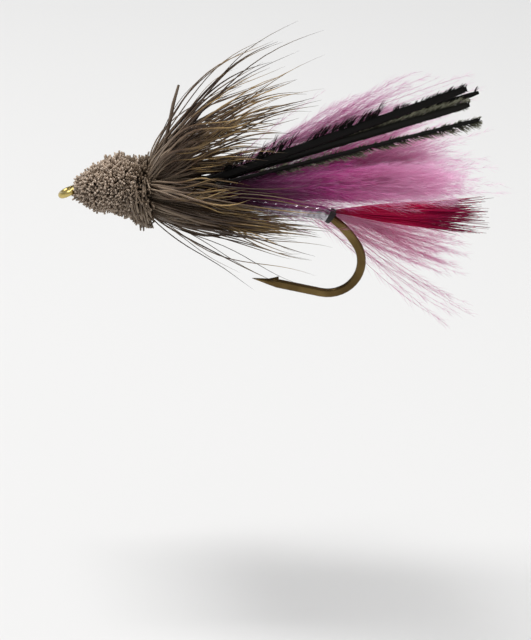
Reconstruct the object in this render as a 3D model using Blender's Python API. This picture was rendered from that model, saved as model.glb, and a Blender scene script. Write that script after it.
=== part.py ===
"""Hair-headed streamer fly on a long-shank hook, built the way it is tied: from the bend forward."""

import math
import random

import bmesh
import bpy
from mathutils import Vector

MM = 0.001

# Hook: turned-down eye, straight shank, three arcs of bend, barbed spear
WIRE = 0.80 * MM
EYE_WIRE = 0.60 * MM
EYE_BORE = 0.80 * MM
EYE_SLOPE = math.radians(30.0)
EYE_FROM = math.radians(225.0)
EYE_STEP = math.radians(12.0)
EYE_GAP = 0.03 * MM
EYE_DROP = 0.62 * MM
NECK = 1.35 * MM
NECK_HANDLE = 0.40 * MM
NECK_STEPS = 6
SHANK = 22.6 * MM
BEND_RADIUS = 3.3 * MM
BEND_BACK = 10.0 * MM
BEND_ARCS = ((BEND_RADIUS, 32.0), (BEND_BACK, 20.0), (BEND_RADIUS, 134.0))
HOOK_SIDES = 16
FORGED = 0.56 * MM
FORGED_DEPTH = 1.10
FORGE_RUN = 1.6 * MM
SPEAR = 6.8 * MM
POINT_TAPER = 2.4 * MM
POINT_TIP = 0.05 * MM
BARB_BACK = 2.5 * MM
BARB_RISE = 0.28 * MM
BARB_LENGTH = 0.9 * MM
BARB_EDGE = 0.06 * MM

# Windings: fine thread, flat tinsel, and the clearance between one layer and the next
SIDES = 12
SEAT = 0.03 * MM
THREAD = 0.12 * MM
BASE_WALL = 0.08 * MM
TINSEL_WALL = 0.09 * MM
TINSEL_STEP = 0.05 * MM
TINSEL_WIDTH = 1.0 * MM
BAND_WALL = 0.10 * MM
COLLAR_BAND_WALL = 0.30 * MM
TAIL_BAND_WALL = 0.05 * MM

# Places along the shank, measured back from its front end
WHIP_LENGTH = 0.36 * MM
HEAD_FRONT = 1.75 * MM
HEAD_MID = 2.75 * MM
HEAD_BUTTS = 1.60 * MM
HEAD_BAND = 0.36 * MM
BAND_RECESS = 0.30 * MM
COLLAR_BAND = 0.30 * MM
COLLAR_ROOT = 0.85 * MM
WING_BAND = 0.96 * MM
BODY_PAST_SHANK = 1.80 * MM
TAIL_BAND = 0.48 * MM

# Head: reach of the clipped hair over and under the shank, as shares of its hump, along its length
HEAD_HUMP = 3.40 * MM
HEAD_OUTLINE = (
    (0.00, 0.42, 0.40),
    (0.10, 0.58, 0.52),
    (0.25, 0.78, 0.56),
    (0.48, 1.00, 0.58),
    (0.62, 0.88, 0.62),
    (0.74, 0.78, 0.68),
    (0.86, 0.88, 0.75),
    (1.00, 0.74, 0.66),
)
HEAD_SIDES = 16
STUB = 0.26 * MM
STUB_TAPER = 0.35
STUB_LEAN = 0.15

# Collar: four bunches of hair round the shank, tips swept back
COLLAR_ROWS = 4
COLLAR_PER_ROW = 10
COLLAR_OUT = 2.45 * MM
COLLAR_CLEAR = 0.10 * MM
COLLAR_SPLIT = math.radians(3.0)
COLLAR_LENGTH = 16.5 * MM
COLLAR_UNDER_LENGTH = 10.0 * MM
COLLAR_UNEVEN = 0.14
FLARE_UNDER = (2.0, 13.0)
FLARE_OVER = (22.0, 48.0)
FLARE_CREST = 15.0
CREST_SPREAD = math.radians(28.0)
COLLAR_BOW = ((0.12, 0.34), (0.38, 0.10), (0.50, -0.20))
HAIR = 0.13 * MM
HAIR_MARGIN = 0.03 * MM

# Wing: four marabou plumes and four herls, side by side on the shank
QUILL = 0.22 * MM
QUILL_TIP = 0.08 * MM
PLUME_LENGTH = 19.5 * MM
PLUME_BARB = 13.5 * MM
PLUME_STATIONS = 12
PLUME_BARE = 3.2 * MM
BARB_WIDTH = 0.10 * MM
HERL_LENGTH = 30.0 * MM
HERL_WIDTH = 0.20 * MM
HERL_DEPTH = 0.90 * MM
HERL_FLUE = 0.26 * MM
HERL_STATIONS = 46
HERL_RISE_RUN = 5.0 * MM
# Each plume: place round the shank, rise and splay in degrees, then shares of the length and of the
# barb, and how far its barbs spread up, down and sideways
PLUMES = (
    ("marabou_near", -66.0, 9.5, -4.6, 1.00, 1.00, 0.34, 0.22, -0.12),
    ("marabou_far", 84.0, 9.5, 5.2, 0.95, 1.00, 0.34, 0.22, 0.12),
    ("marabou_crest", 44.0, 23.0, 5.5, 0.95, 0.74, 0.16, 0.05, 0.08),
    ("marabou_skirt", 118.0, 0.5, 3.0, 0.87, 0.85, 0.04, 0.42, 0.10),
)
# Each herl: place round the shank, rise and splay in degrees, then its share of the length
HERLS = (
    ("herl_1", -20.0, 26.4, -0.4, 1.00),
    ("herl_2", 2.0, 23.8, 0.4, 0.99),
    ("herl_3", -42.0, 20.9, -0.8, 1.015),
    ("herl_4", 24.0, 24.6, 0.5, 1.03),
)

# Tail: a bunch of stiff hackle fibres on top of the bend
TAIL_LENGTH = 14.5 * MM
TAIL_THICK = 0.20 * MM
TAIL_SPAN = math.radians(36.0)
TAIL_ACROSS = 9
TAIL_ROWS = 3
TAIL_FAN = math.radians(5.0)
TAIL_TILT = math.radians(5.0)
TAIL_FIBRE = 0.07 * MM
TAIL_LEAVE = 0.9 * MM

# Layers round the shank, each one laid on the last
BASE_BORE = WIRE / 2 + SEAT
BASE_SKIN = BASE_BORE + BASE_WALL
TINSEL_BORE = BASE_SKIN + SEAT
TINSEL_SKIN = TINSEL_BORE + TINSEL_WALL
ROOT_RING = BASE_SKIN + SEAT + QUILL * 0.75
HERL_RING = ROOT_RING + QUILL * 0.75 + SEAT + HERL_WIDTH * 0.75

# Stations that follow from the lengths above
WHIP_END = WHIP_LENGTH
FRONT_END = WHIP_END + SEAT + HEAD_FRONT
MID_END = FRONT_END + SEAT + HEAD_MID
HEAD_END = MID_END + SEAT + HEAD_BUTTS
HEAD_START = WHIP_END + SEAT
COLLAR_START = HEAD_END + SEAT + COLLAR_BAND + SEAT
COLLAR_END = COLLAR_START + COLLAR_ROOT
WING_START = COLLAR_END + SEAT
WING_END = WING_START + WING_BAND
BODY_END = SHANK + BODY_PAST_SHANK
TAIL_START = BODY_END - TAIL_BAND

RNG = random.Random(11)


def clear_scene():
    for item in list(bpy.data.objects):
        bpy.data.objects.remove(item, do_unlink=True)


def material(name, colour, roughness, metallic):
    skin = bpy.data.materials.new(name)
    skin.use_nodes = True
    shader = skin.node_tree.nodes["Principled BSDF"]
    shader.inputs["Base Color"].default_value = (*colour, 1.0)
    shader.inputs["Roughness"].default_value = roughness
    shader.inputs["Metallic"].default_value = metallic
    return skin


def finish(name, bm, colour, roughness, metallic=0.0):
    """Turns the working mesh into a named object with its own material."""
    bmesh.ops.recalc_face_normals(bm, faces=bm.faces)
    if bm.calc_volume(signed=True) < 0.0:
        bmesh.ops.reverse_faces(bm, faces=bm.faces)
    mesh = bpy.data.meshes.new(name)
    bm.to_mesh(mesh)
    bm.free()
    piece = bpy.data.objects.new(name, mesh)
    bpy.context.scene.collection.objects.link(piece)
    mesh.materials.append(material(name + "_finish", colour, roughness, metallic))
    return piece


def mix(a, b, t):
    return a + (b - a) * t


def station(s):
    """Point, heading and outward normal of the wire's centre line, s behind the shank's front end."""
    point = Vector((NECK + min(s, SHANK), 0.0, EYE_DROP))
    left = s - SHANK
    turned = 0.0
    for radius, turn in BEND_ARCS:
        if left <= 0.0:
            break
        step = min(left / radius, math.radians(turn))
        point.x += radius * (math.sin(turned + step) - math.sin(turned))
        point.z -= radius * (math.cos(turned) - math.cos(turned + step))
        turned += step
        left -= radius * step
    heading = Vector((math.cos(turned), 0.0, -math.sin(turned)))
    normal = Vector((math.sin(turned), 0.0, math.cos(turned)))
    return point + heading * max(left, 0.0), heading, normal


def around(s, angle, radius, lift=0.0):
    """A point at a radius from the wire's centre line; angle 0 is the top and 90 degrees the far side."""
    point, _, normal = station(s)
    across = Vector((0.0, 1.0, 0.0))
    return point + normal * (lift + radius * math.cos(angle)) + across * radius * math.sin(angle)


def corner_angle(index, sides):
    return (index + 0.5) * math.tau / sides


def loft(bm, rings):
    """Skins a row of rings; returns the faces as rows, one row for each step between rings."""
    sides = len(rings[0])
    rows = []
    for ring, after in zip(rings, rings[1:]):
        row = []
        for i in range(sides):
            j = (i + 1) % sides
            row.append(bm.faces.new((ring[i], ring[j], after[j], after[i])))
        rows.append(row)
    return rows


def sleeve(bm, start, end, bore, skin, steps, bore_at=(0.0, 1.0), lift=0.0, sides=SIDES):
    """A closed sleeve on the wire: skin(t, angle) outside, bore(t) inside, t from 0 to 1 along it."""

    def ring(t, radius):
        angles = [corner_angle(i, sides) for i in range(sides)]
        return [bm.verts.new(around(mix(start, end, t), a, radius(t, a), lift)) for a in angles]

    outer = [ring(i / steps, skin) for i in range(steps + 1)]
    inner = [ring(t, lambda at, _: bore(at)) for t in bore_at]
    rows = loft(bm, outer)
    loft(bm, inner)
    loft(bm, [outer[0], inner[0]])
    loft(bm, [outer[-1], inner[-1]])
    return rows


def wraps(length, radius, height=THREAD / 3):
    """Skin of a band of thread: one helical ridge for each turn that fits in its length."""
    turns = max(2, round(length / THREAD))

    def skin(t, angle):
        return radius + height * (0.5 + 0.5 * math.cos(turns * math.tau * t - angle))

    return skin, turns * 3


def thread_band(name, start, length, bore, colour, wall=BAND_WALL, lift=0.0):
    bm = bmesh.new()
    skin, steps = wraps(length, bore + wall)
    sleeve(bm, start, start + length, lambda t: bore, skin, steps, lift=lift)
    return finish(name, bm, colour, 0.55)


def closing_bore(roots, lift):
    """Bore of a lifted band round the shank and its roots, each given as ring, angle and half size."""
    reach = BASE_SKIN + lift
    for ring, angle, half in roots:
        reach = max(reach, math.hypot(ring * math.sin(angle), ring * math.cos(angle) - lift) + half)
    return (reach + SEAT) / math.cos(math.pi / SIDES)


def grow(bm, face, path, width, margin):
    """Draws one fibre out of a face: a four-sided taper through the path, closed to a point."""
    bmesh.ops.inset_individual(bm, faces=[face], thickness=margin, use_even_offset=True)
    face.normal_update()
    centre = face.calc_center_median()
    normal = face.normal.copy()
    along = (face.verts[1].co - face.verts[0].co).normalized()
    aside = normal.cross(along)
    signs = []
    for vert in face.verts:
        offset = vert.co - centre
        signs.append((math.copysign(0.5, offset.dot(along)), math.copysign(0.5, offset.dot(aside))))
    before = centre
    for index, point in enumerate(path[:-1]):
        heading = (path[index + 1] - before).normalized()
        turn = normal.rotation_difference(heading)
        size = width * (1.0 - 0.55 * index / max(len(path) - 2, 1))
        face = bmesh.ops.extrude_discrete_faces(bm, faces=[face])["faces"][0]
        for vert, (a, b) in zip(face.verts, signs):
            vert.co = point + turn @ (along * a + aside * b) * size
        before = point
    tip = bmesh.ops.poke(bm, faces=[face])["verts"][0]
    tip.co = path[-1]


def slab(bm, back, front, across, rows):
    """A root slice whose back is a grid of cells, one for each fibre; returns the cells in rows."""
    grid = []
    for j in range(rows + 1):
        grid.append([bm.verts.new(back(i / across, j / rows)) for i in range(across + 1)])
    rim = [(i, 0) for i in range(across)] + [(across, j) for j in range(rows)]
    rim += [(across - i, rows) for i in range(across)] + [(0, rows - j) for j in range(rows)]
    edge = [grid[j][i] for i, j in rim]
    face = [bm.verts.new(front(i / across, j / rows)) for i, j in rim]
    loft(bm, [edge, face])
    bm.faces.new(face)
    cells = []
    for low, high in zip(grid, grid[1:]):
        cells.append([bm.faces.new((low[i], low[i + 1], high[i + 1], high[i])) for i in range(across)])
    return cells


def transport(points, normals_from, normal):
    """Carries a normal along a line of points without twist, both ways from one index."""
    heads = []
    for i in range(len(points)):
        ahead = points[min(i + 1, len(points) - 1)]
        behind = points[max(i - 1, 0)]
        heads.append((ahead - behind).normalized())
    normals = [None] * len(points)
    normals[normals_from] = normal
    for i in range(normals_from + 1, len(points)):
        normals[i] = heads[i - 1].rotation_difference(heads[i]) @ normals[i - 1]
    for i in range(normals_from - 1, -1, -1):
        normals[i] = heads[i + 1].rotation_difference(heads[i]) @ normals[i + 1]
    return heads, normals


def eye_line():
    """Centre line of the eye's loop, bent round until its cut end meets the neck, and of that neck."""
    front = Vector((-math.cos(EYE_SLOPE), 0.0, -math.sin(EYE_SLOPE)))
    across = Vector((0.0, 1.0, 0.0))
    radius = (EYE_BORE + EYE_WIRE) / 2

    def on_loop(angle):
        return (front * math.cos(angle) + across * math.sin(angle)) * radius

    first = on_loop(EYE_FROM)
    last = Vector((NECK, 0.0, EYE_DROP))
    second = first + (front * math.sin(EYE_FROM) - across * math.cos(EYE_FROM)) * NECK_HANDLE
    third = last - Vector((NECK_HANDLE, 0.0, 0.0))
    neck = []
    for i in range(1, NECK_STEPS):
        t = i / NECK_STEPS
        u = 1.0 - t
        neck.append(first * u**3 + second * (3 * u * u * t) + third * (3 * u * t * t) + last * t**3)
    clear = (EYE_WIRE + WIRE) / 2 + EYE_GAP
    loop = [first]
    turned = EYE_STEP
    while turned < math.pi or min((on_loop(EYE_FROM + turned) - p).length for p in neck) > clear:
        loop.append(on_loop(EYE_FROM + turned))
        turned += EYE_STEP
    return loop[::-1] + neck


def make_hook():
    """One wire from the eye's cut end to the point: round, forged flat at the sides of the bend."""
    line = eye_line()
    eye_count = len(line)
    arcs = [radius * math.radians(turn) for radius, turn in BEND_ARCS]
    stops = [0.0, SHANK]
    reach = SHANK
    for length, count in zip(arcs, (4, 3, 15)):
        stops += [reach + length * (i + 1) / count for i in range(count)]
        reach += length
    tip = reach + SPEAR
    barb = tip - BARB_BACK
    stops += [barb - BARB_EDGE, barb, barb + BARB_LENGTH, tip - POINT_TAPER * 0.35, tip]
    stops = sorted(stops)
    line += [station(s)[0] for s in stops]
    heads, normals = transport(line, eye_count, Vector((0.0, 0.0, 1.0)))
    bm = bmesh.new()
    rings = []
    for i, (point, head, normal) in enumerate(zip(line, heads, normals)):
        s = stops[i - eye_count] if i >= eye_count else -1.0
        side = head.cross(normal)
        radius = WIRE / 2
        if i < eye_count:
            radius = mix(EYE_WIRE, WIRE, max(0.0, (i - eye_count + NECK_STEPS) / NECK_STEPS)) / 2
        else:
            head, normal = station(s)[1:]
            side = head.cross(normal)
        if s > tip - POINT_TAPER:
            radius = mix(POINT_TIP, WIRE, (tip - s) / POINT_TAPER) / 2
        forged = min(1.0, max(0.0, (s - BODY_END - SEAT) / FORGE_RUN))
        flat = mix(WIRE, FORGED, forged) / 2
        ring = []
        for k in range(HOOK_SIDES):
            angle = corner_angle(k, HOOK_SIDES)
            up = radius * math.cos(angle) * mix(1.0, FORGED_DEPTH, forged)
            out = max(-flat, min(flat, radius * math.sin(angle)))
            if math.cos(angle) < -0.9 and s == barb:
                up -= BARB_RISE
            ring.append(bm.verts.new(point + normal * up + side * out))
        rings.append(ring)
    loft(bm, rings)
    bm.faces.new(rings[0])
    bm.faces.new(rings[-1])
    finish("hook", bm, (0.26, 0.19, 0.07), 0.32, 1.0)


def make_body():
    """Thread laid along the shank, then flat tinsel in overlapping turns over it."""
    bend = [i / 5 for i in range(6)]
    knee = SHANK / BODY_END
    curve = (0.0,) + tuple(mix(knee, 1.0, t) for t in bend)
    bm = bmesh.new()
    rings = []
    for t in curve:
        s = BODY_END * t
        rings.append([around(s, corner_angle(i, SIDES), BASE_SKIN) for i in range(SIDES)])
    outer = [[bm.verts.new(p) for p in ring] for ring in rings]
    inner = []
    for t in curve:
        s = BODY_END * t
        inner.append([bm.verts.new(around(s, corner_angle(i, SIDES), BASE_BORE)) for i in range(SIDES)])
    loft(bm, outer)
    loft(bm, inner)
    loft(bm, [outer[0], inner[0]])
    loft(bm, [outer[-1], inner[-1]])
    finish("thread_base", bm, (0.02, 0.02, 0.02), 0.6)

    start = WING_END + SEAT
    end = TAIL_START - SEAT
    turns = round((end - start) / TINSEL_WIDTH)

    def skin(t, angle):
        phase = (turns * t - angle / math.tau) % 1.0
        return TINSEL_SKIN + TINSEL_STEP * (1.0 - phase)

    bm = bmesh.new()
    knee = (SHANK - start) / (end - start)
    bore_at = (0.0,) + tuple(mix(knee, 1.0, t) for t in bend)
    sleeve(bm, start, end, lambda t: TINSEL_BORE, skin, turns * 3, bore_at)
    finish("tinsel_body", bm, (0.75, 0.75, 0.77), 0.25, 1.0)


def make_tail():
    """Hackle fibres bound on top of the bend, drawn from a curved root under a thread band."""
    low = BASE_SKIN + SEAT
    high = low + TAIL_THICK

    def place(s):
        return lambda u, v: around(s, mix(-TAIL_SPAN, TAIL_SPAN, u), mix(low, high, v))

    bm = bmesh.new()
    cells = slab(bm, place(BODY_END), place(TAIL_START + SEAT), TAIL_ACROSS, TAIL_ROWS)
    middle = (TAIL_ACROSS - 1) / 2
    for j, row in enumerate(cells):
        for i, cell in enumerate(row):
            root = cell.calc_center_median()
            yaw = TAIL_FAN * (i - middle) / middle
            droop = 0.3 * TAIL_FAN * abs(i - middle) / middle
            pitch = TAIL_TILT + TAIL_FAN * (j - (TAIL_ROWS - 1) / 2) - droop
            aim = Vector((math.cos(pitch) * math.cos(yaw), math.sin(yaw), math.sin(pitch)))
            length = TAIL_LENGTH * RNG.uniform(0.84, 1.0)
            leave = station(BODY_END)[1].lerp(aim, 0.6).normalized() * TAIL_LEAVE
            path = [root + leave]
            path += [root + leave + aim * length * t for t in (0.45, 1.0)]
            grow(bm, cell, path, TAIL_FIBRE, TAIL_FIBRE * 0.2)
    finish("tail_fibres", bm, (0.33, 0.002, 0.02), 0.5)
    lift = TAIL_THICK / 2
    bore = closing_bore([(high, 0.0, 0.0), (high, TAIL_SPAN, 0.0)], lift)
    colour = (0.012, 0.012, 0.012)
    thread_band("tail_band", TAIL_START, TAIL_BAND, bore, colour, TAIL_BAND_WALL, lift)


def wing_line(ring, angle, rise, splay, run, length, count):
    """Centre line of one wing strand: straight under the thread, then turned to its rise and splay."""
    leave = around(WING_END, angle, ring)
    line = [around(WING_START, angle, ring), leave]
    for i in range(1, count + 1):
        d = length * i / count
        eased = min(d / run, 1.0)
        up = math.tan(rise) * (d - run * eased * (1.0 - eased / 2) * 0.55)
        out = math.tan(splay) * d
        line.append(leave + Vector((d * math.cos(rise), out, up * math.cos(rise))))
    return line


def square_rings(bm, line, halves):
    """Four-sided rings along a line, flat faces turned up, down and to the sides."""
    heads, normals = transport(line, 0, Vector((0.0, 0.0, 1.0)))
    rings = []
    for point, head, normal, (tall, wide) in zip(line, heads, normals, halves):
        side = head.cross(normal)
        corners = ((1, -1), (1, 1), (-1, 1), (-1, -1))
        rings.append([bm.verts.new(point + normal * tall * a + side * wide * b) for a, b in corners])
    return rings, heads, normals


def make_plume(name, angle, rise, splay, length, barb, lift, drop, sideways, first=0):
    """A marabou plume: a fine quill with soft barbs leaving its upper and lower edges."""
    line = wing_line(ROOT_RING, angle, rise, splay, PLUME_BARE, length, PLUME_STATIONS)
    last = len(line) - 1
    halves = []
    for i in range(len(line)):
        size = mix(QUILL, QUILL_TIP, max(0, i - 1) / (last - 1)) / 2
        halves.append((size, size))
    bm = bmesh.new()
    rings, heads, normals = square_rings(bm, line, halves)
    rows = loft(bm, rings)
    bm.faces.new(rings[0])
    bm.faces.new(rings[-1])
    across = Vector((0.0, 1.0, 0.0))
    bare = math.ceil(PLUME_BARE / (length / PLUME_STATIONS)) + 1
    for i in range(max(bare, first), last):
        reach = barb * mix(1.0, 0.72, (i - bare) / (last - bare)) * RNG.uniform(0.94, 1.0)
        for side, spread in ((0, lift), (2, drop)):
            root = rows[i][side].calc_center_median()
            up = normals[i] if side == 0 else -normals[i]
            path = []
            for t in (0.22, 0.58, 1.0):
                out = across * sideways * reach * t * RNG.uniform(0.6, 1.0)
                path.append(root + heads[i] * reach * t + up * spread * reach * (2 * t - t * t) + out)
            grow(bm, rows[i][side], path, BARB_WIDTH, QUILL_TIP * 0.2)
    finish(name, bm, (0.42, 0.08, 0.30), 0.7)


def make_herl(name, angle, rise, splay, length):
    """A herl: a flat quill edged above and below with short flue that leans back."""
    line = wing_line(HERL_RING, angle, rise, splay, HERL_RISE_RUN, length, HERL_STATIONS)
    last = len(line) - 1
    halves = []
    for i in range(len(line)):
        depth = HERL_WIDTH if i < 2 else mix(HERL_WIDTH, HERL_DEPTH, min(1.0, (i - 1) / 4))
        halves.append((depth / 2, HERL_WIDTH / 2))
    bm = bmesh.new()
    rings, heads, normals = square_rings(bm, line, halves)
    rows = loft(bm, rings)
    bm.faces.new(rings[0])
    bm.faces.new(rings[-1])
    for i in range(6, last):
        for side, sign in ((0, 1.0), (2, -1.0)):
            centre = rows[i][side].calc_center_median()
            tip = bmesh.ops.poke(bm, faces=[rows[i][side]])["verts"][0]
            tip.co = centre + normals[i] * sign * HERL_FLUE + heads[i] * HERL_FLUE
    finish(name, bm, (0.012, 0.011, 0.010), 0.45)


def wing_band_size():
    """Bore and lift of the thread band that closes round the shank and every root on it."""
    top = HERL_RING + HERL_WIDTH * 0.75
    lift = (top - BASE_SKIN) / 2
    roots = [(ROOT_RING, math.radians(plume[1]), QUILL * 0.75) for plume in PLUMES]
    roots += [(HERL_RING, math.radians(herl[1]), HERL_WIDTH * 0.75) for herl in HERLS]
    return closing_bore(roots, lift), lift


def make_wing():
    for name, angle, rise, splay, length, barb, lift, drop, sideways in PLUMES:
        first = PLUME_STATIONS - 2 if name == "marabou_skirt" else 0
        turns = [math.radians(value) for value in (angle, rise, splay)]
        sizes = (length * PLUME_LENGTH, barb * PLUME_BARB)
        make_plume(name, *turns, *sizes, lift, drop, sideways, first)
    for name, angle, rise, splay, length in HERLS:
        turns = [math.radians(value) for value in (angle, rise, splay)]
        make_herl(name, *turns, length * HERL_LENGTH)
    bore, lift = wing_band_size()
    thread_band("wing_band", WING_START, WING_BAND, bore, (0.03, 0.028, 0.026), lift=lift)


def collar_flare(angle, row):
    """Lean of one hair from the shank: close along the body below, clear of the herls on top."""
    over = (1.0 + math.cos(angle)) / 2
    aside = math.remainder(angle, math.tau) / CREST_SPREAD
    low = mix(FLARE_UNDER[0], FLARE_OVER[0], over * over) + FLARE_CREST * math.exp(-aside * aside)
    high = mix(FLARE_UNDER[1], FLARE_OVER[1], over * over)
    return math.radians(mix(low, high, row / (COLLAR_ROWS - 1)))


def make_collar():
    """Hair tips all round the shank, in four bunches, longest and most upright on top."""
    bore, lift = wing_band_size()
    inner = BASE_SKIN + SEAT
    hair_from = bore + BAND_WALL + THREAD + lift + COLLAR_CLEAR
    sectors = (
        ("collar_top", 0.0, COLLAR_LENGTH),
        ("collar_far", 90.0, COLLAR_LENGTH),
        ("collar_under", 180.0, COLLAR_UNDER_LENGTH),
        ("collar_near", 270.0, COLLAR_LENGTH),
    )
    for name, middle, length in sectors:
        middle = math.radians(middle)
        half = math.pi / 4 - COLLAR_SPLIT / 2

        def radius(v):
            row = v * (COLLAR_ROWS + 1)
            if row < 1.0:
                return mix(inner, hair_from, row)
            return mix(hair_from, COLLAR_OUT, (row - 1.0) / COLLAR_ROWS)

        def back(u, v):
            angle = middle + mix(-half, half, u)
            row = max(0.0, v * (COLLAR_ROWS + 1) - 1.0) / COLLAR_ROWS
            return around(mix(COLLAR_END, COLLAR_START + COLLAR_ROOT * 0.3, row), angle, radius(v))

        def front(u, v):
            return around(COLLAR_START, middle + mix(-half, half, u), radius(v))

        bm = bmesh.new()
        cells = slab(bm, back, front, COLLAR_PER_ROW, COLLAR_ROWS + 1)
        for j, row in enumerate(cells[1:]):
            for i, cell in enumerate(row):
                root = cell.calc_center_median()
                angle = middle + mix(-half, half, (i + 0.5) / COLLAR_PER_ROW)
                flare = collar_flare(angle, j)
                out = Vector((0.0, math.sin(angle), math.cos(angle)))
                reach = length * RNG.uniform(1.0 - COLLAR_UNEVEN, 1.0 + COLLAR_UNEVEN)
                path = [root]
                for share, bend in COLLAR_BOW:
                    turned = flare + bend
                    step = Vector((math.cos(turned), 0.0, 0.0)) + out * math.sin(turned)
                    path.append(path[-1] + step * reach * share)
                grow(bm, cell, path[1:], HAIR, HAIR_MARGIN)
        finish(name, bm, (0.07, 0.05, 0.03), 0.55)
    colour = (0.03, 0.028, 0.026)
    thread_band("collar_band", HEAD_END + SEAT, COLLAR_BAND, inner, colour, wall=COLLAR_BAND_WALL)


def head_reach(s, angle):
    """How far the clipped hair stands out from the shank at a station and angle."""
    t = (s - HEAD_START) / (HEAD_END - HEAD_START)
    for (t0, over0, under0), (t1, over1, under1) in zip(HEAD_OUTLINE, HEAD_OUTLINE[1:]):
        if t <= t1:
            break
    part = min(1.0, max(0.0, (t - t0) / (t1 - t0)))
    over = mix(over0, over1, part)
    under = mix(under0, under1, part)
    return HEAD_HUMP * mix(under, over, (1.0 + math.cos(angle)) / 2)


def make_head():
    """Three spun bunches clipped to a hump, the rear one the butts of the collar's own hair."""
    bunches = (
        ("head_butts", MID_END + SEAT, HEAD_END, 3, (0.055, 0.042, 0.032)),
        ("head_mid", FRONT_END + SEAT, MID_END, 5, (0.21, 0.16, 0.125)),
        ("head_front", HEAD_START, FRONT_END, 4, (0.24, 0.19, 0.155)),
    )
    groove = BASE_SKIN + SEAT + BAND_WALL + THREAD
    for name, start, end, steps, colour in bunches:
        recess = BAND_RECESS / (end - start)

        def bore(t):
            return groove + SEAT if t in (0.0, 1.0) else BASE_SKIN + SEAT

        def skin(t, angle):
            edge = 0.94 if t in (0.0, 1.0) else 1.0
            return max(head_reach(mix(start, end, t), angle) * edge, groove + SEAT * 4)

        bm = bmesh.new()
        rows = sleeve(bm, start, end, bore, skin, steps, (0.0, recess, 1.0 - recess, 1.0), sides=HEAD_SIDES)
        bm.normal_update()
        for j, row in enumerate(rows):
            for i, cell in enumerate(row):
                if (i + j) % 2:
                    continue
                angle = corner_angle(i + 0.5, HEAD_SIDES)
                out = Vector((-STUB_LEAN, math.sin(angle), math.cos(angle)))
                stub = bmesh.ops.extrude_discrete_faces(bm, faces=[cell])["faces"][0]
                middle = stub.calc_center_median()
                height = STUB * RNG.uniform(0.6, 1.2)
                for vert in stub.verts:
                    vert.co = mix(vert.co, middle, STUB_TAPER) + out * height
        finish(name, bm, colour, 0.8)
    inner = BASE_SKIN + SEAT
    colour = (0.03, 0.028, 0.026)
    for name, at in (("head_band_rear", MID_END), ("head_band_front", FRONT_END)):
        start = at + SEAT / 2 - HEAD_BAND / 2
        thread_band(name, start, HEAD_BAND, inner, colour, wall=BAND_WALL / 2)
    thread_band("whip_finish", 0.0, WHIP_LENGTH, inner, colour, wall=BAND_WALL * 1.6)


clear_scene()
make_hook()
make_body()
make_tail()
make_wing()
make_collar()
make_head()
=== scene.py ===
import math

import bpy
import numpy as np
from mathutils import Matrix, Vector


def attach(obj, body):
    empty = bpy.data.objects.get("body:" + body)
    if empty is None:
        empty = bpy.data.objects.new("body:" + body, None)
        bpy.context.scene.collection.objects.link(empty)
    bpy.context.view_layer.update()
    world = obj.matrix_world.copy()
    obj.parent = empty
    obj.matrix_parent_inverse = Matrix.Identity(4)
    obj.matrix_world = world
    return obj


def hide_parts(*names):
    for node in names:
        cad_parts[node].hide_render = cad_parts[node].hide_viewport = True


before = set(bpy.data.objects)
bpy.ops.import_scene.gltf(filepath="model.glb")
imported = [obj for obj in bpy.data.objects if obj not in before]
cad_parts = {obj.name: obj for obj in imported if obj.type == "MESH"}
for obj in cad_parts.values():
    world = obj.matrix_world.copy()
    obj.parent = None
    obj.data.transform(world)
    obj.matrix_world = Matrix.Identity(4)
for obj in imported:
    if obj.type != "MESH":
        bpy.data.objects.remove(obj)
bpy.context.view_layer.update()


# Hook
# A long-shank streamer hook, the piece everything else is tied on.
# Carbon-steel wire, drawn, bent, forged flat at the bend and lacquered bronze;
# the lacquer is a little darker where it pools, and the eye carries a painted highlight that turns it gold.

MM = 0.001          # metres; a size below is in mm where nothing else is said


def linear(text):
    """Linear colour of an sRGB hex colour."""
    parts = [int(text[i:i + 2], 16) / 255 for i in (1, 3, 5)]
    low = [c / 12.92 if c <= 0.04045 else ((c + 0.055) / 1.055) ** 2.4 for c in parts]
    return (*low, 1.0)


def add(tree, kind, inputs=None, stops=(), **settings):
    """Adds a node with its settings and colour stops; an input is a value or another node's socket."""
    node = tree.nodes.new(kind)
    for key, value in settings.items():
        setattr(node, key, value)
    for i, (spot, colour) in enumerate(stops):
        if i == len(node.color_ramp.elements):
            node.color_ramp.elements.new(1.0)
        node.color_ramp.elements[i].position = spot
        node.color_ramp.elements[i].color = linear(colour)
    for key, value in (inputs or {}).items():
        if isinstance(value, bpy.types.NodeSocket):
            tree.links.new(value, node.inputs[key])
        else:
            node.inputs[key].default_value = value
    return node


def blank(name):
    """A new material with its tree and its Principled shader."""
    skin = bpy.data.materials.new(name)
    skin.use_nodes = True
    return skin, skin.node_tree, skin.node_tree.nodes["Principled BSDF"]


def dress(node, skin):
    """Gives a CAD node's object a new material."""
    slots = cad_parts[node].data.materials
    slots.clear()
    slots.append(skin)


EYE_END = 0.6       # mm behind the eye's centre, up to which the painted highlight is at its strongest
NECK_END = 2.2      # mm behind it, where the wire has its full brown
EYE_HIGHLIGHT = 0.50     # how far the painted highlight lifts the tone towards gold
POOL = 3.8          # mm across a darker pool in the lacquer
GRAIN = 0.14        # mm across the faint grain of the drawn wire, coarser than real so that it shows
GRAIN_DEPTH = 0.01  # mm deep
EDGE = 0.12         # mm, radius to which the lacquer rounds the edges
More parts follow.
